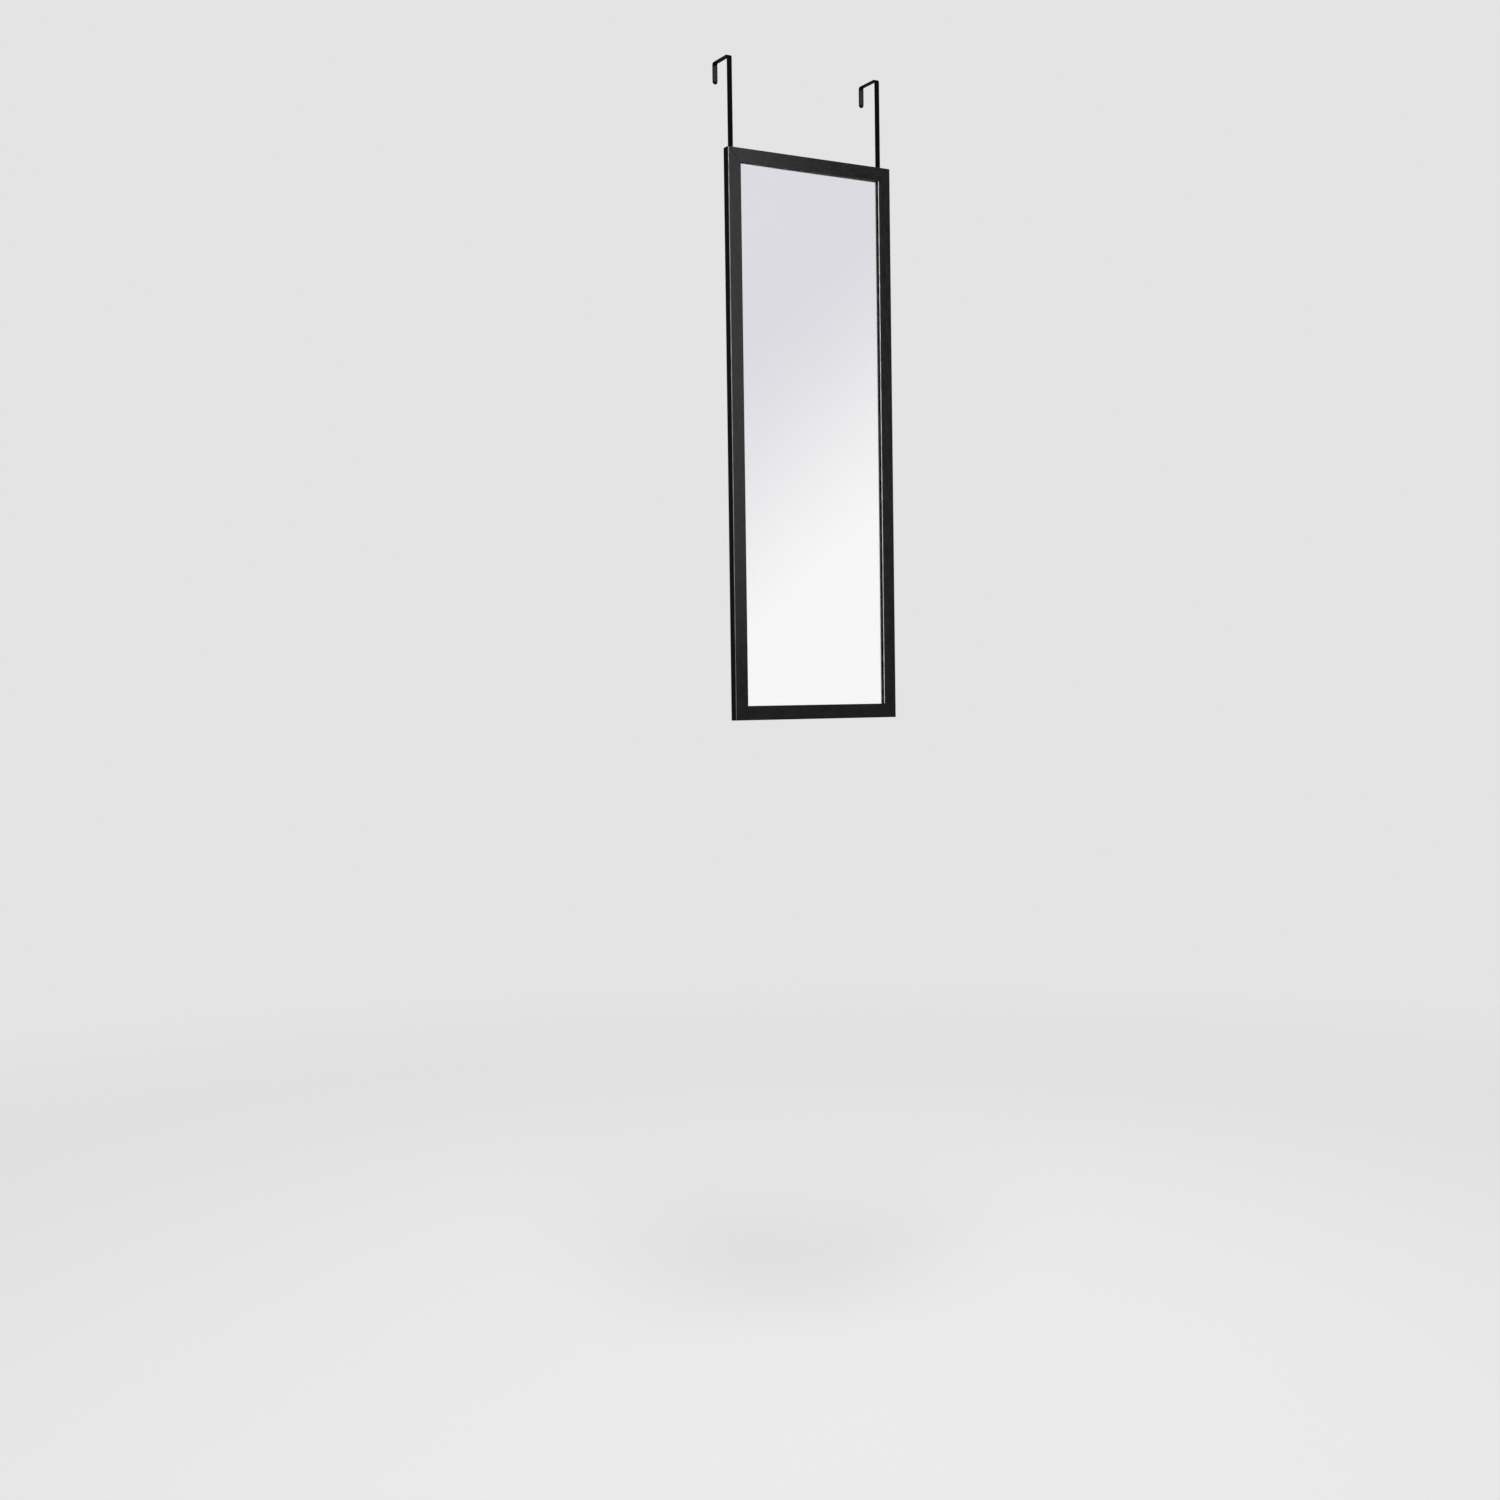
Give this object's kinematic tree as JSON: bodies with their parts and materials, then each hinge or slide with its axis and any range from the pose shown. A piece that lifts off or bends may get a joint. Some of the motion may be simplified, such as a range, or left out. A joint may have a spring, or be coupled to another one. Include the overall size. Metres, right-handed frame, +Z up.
{
  "type": "over the door mirror",
  "caption": "Slim upright mirror in a mitred black frame, hung from the top edge of a door by flat steel straps that end in bent hooks.",
  "frame": {"origin": "on the top front edge of the door that the mirror hangs on, midway between the two hooks: y = 0 is the door's face and z = 0 is its top edge", "axes": "+X to the right seen from the front, +Y back into the door, +Z up; the pane faces -Y"},
  "size_m": [0.28, 0.059, 0.9665],
  "materials": {
    "frame_black": "satin",
    "zinc_steel": "satin",
    "clear_glass": "polished",
    "silvering": "polished",
    "white_foam": "matte",
    "hardboard": "matte",
    "strap_black": "satin",
    "screw_black": "satin",
    "black_foam": "matte",
    "bumper_rubber": "matte"
  },
  "bodies": {
    "root": {"frame_left_stile": "frame_black", "frame_right_stile": "frame_black", "frame_top_rail": "frame_black", "frame_bottom_rail": "frame_black", "corner_nails_top_left": "zinc_steel", "corner_nails_top_right": "zinc_steel", "corner_nails_bottom_left": "zinc_steel", "corner_nails_bottom_right": "zinc_steel", "mirror_glass": "clear_glass", "silver_coating": "silvering", "foam_sheet": "white_foam", "backing_board": "hardboard", "retaining_points": "zinc_steel", "hanger_strap_left": "strap_black", "hanger_strap_right": "strap_black", "strap_screws_left": "screw_black", "strap_screws_right": "screw_black", "hook_pad_left": "black_foam", "hook_pad_right": "black_foam", "bumper_left": "bumper_rubber", "bumper_right": "bumper_rubber"}
  },
  "joints": []
}
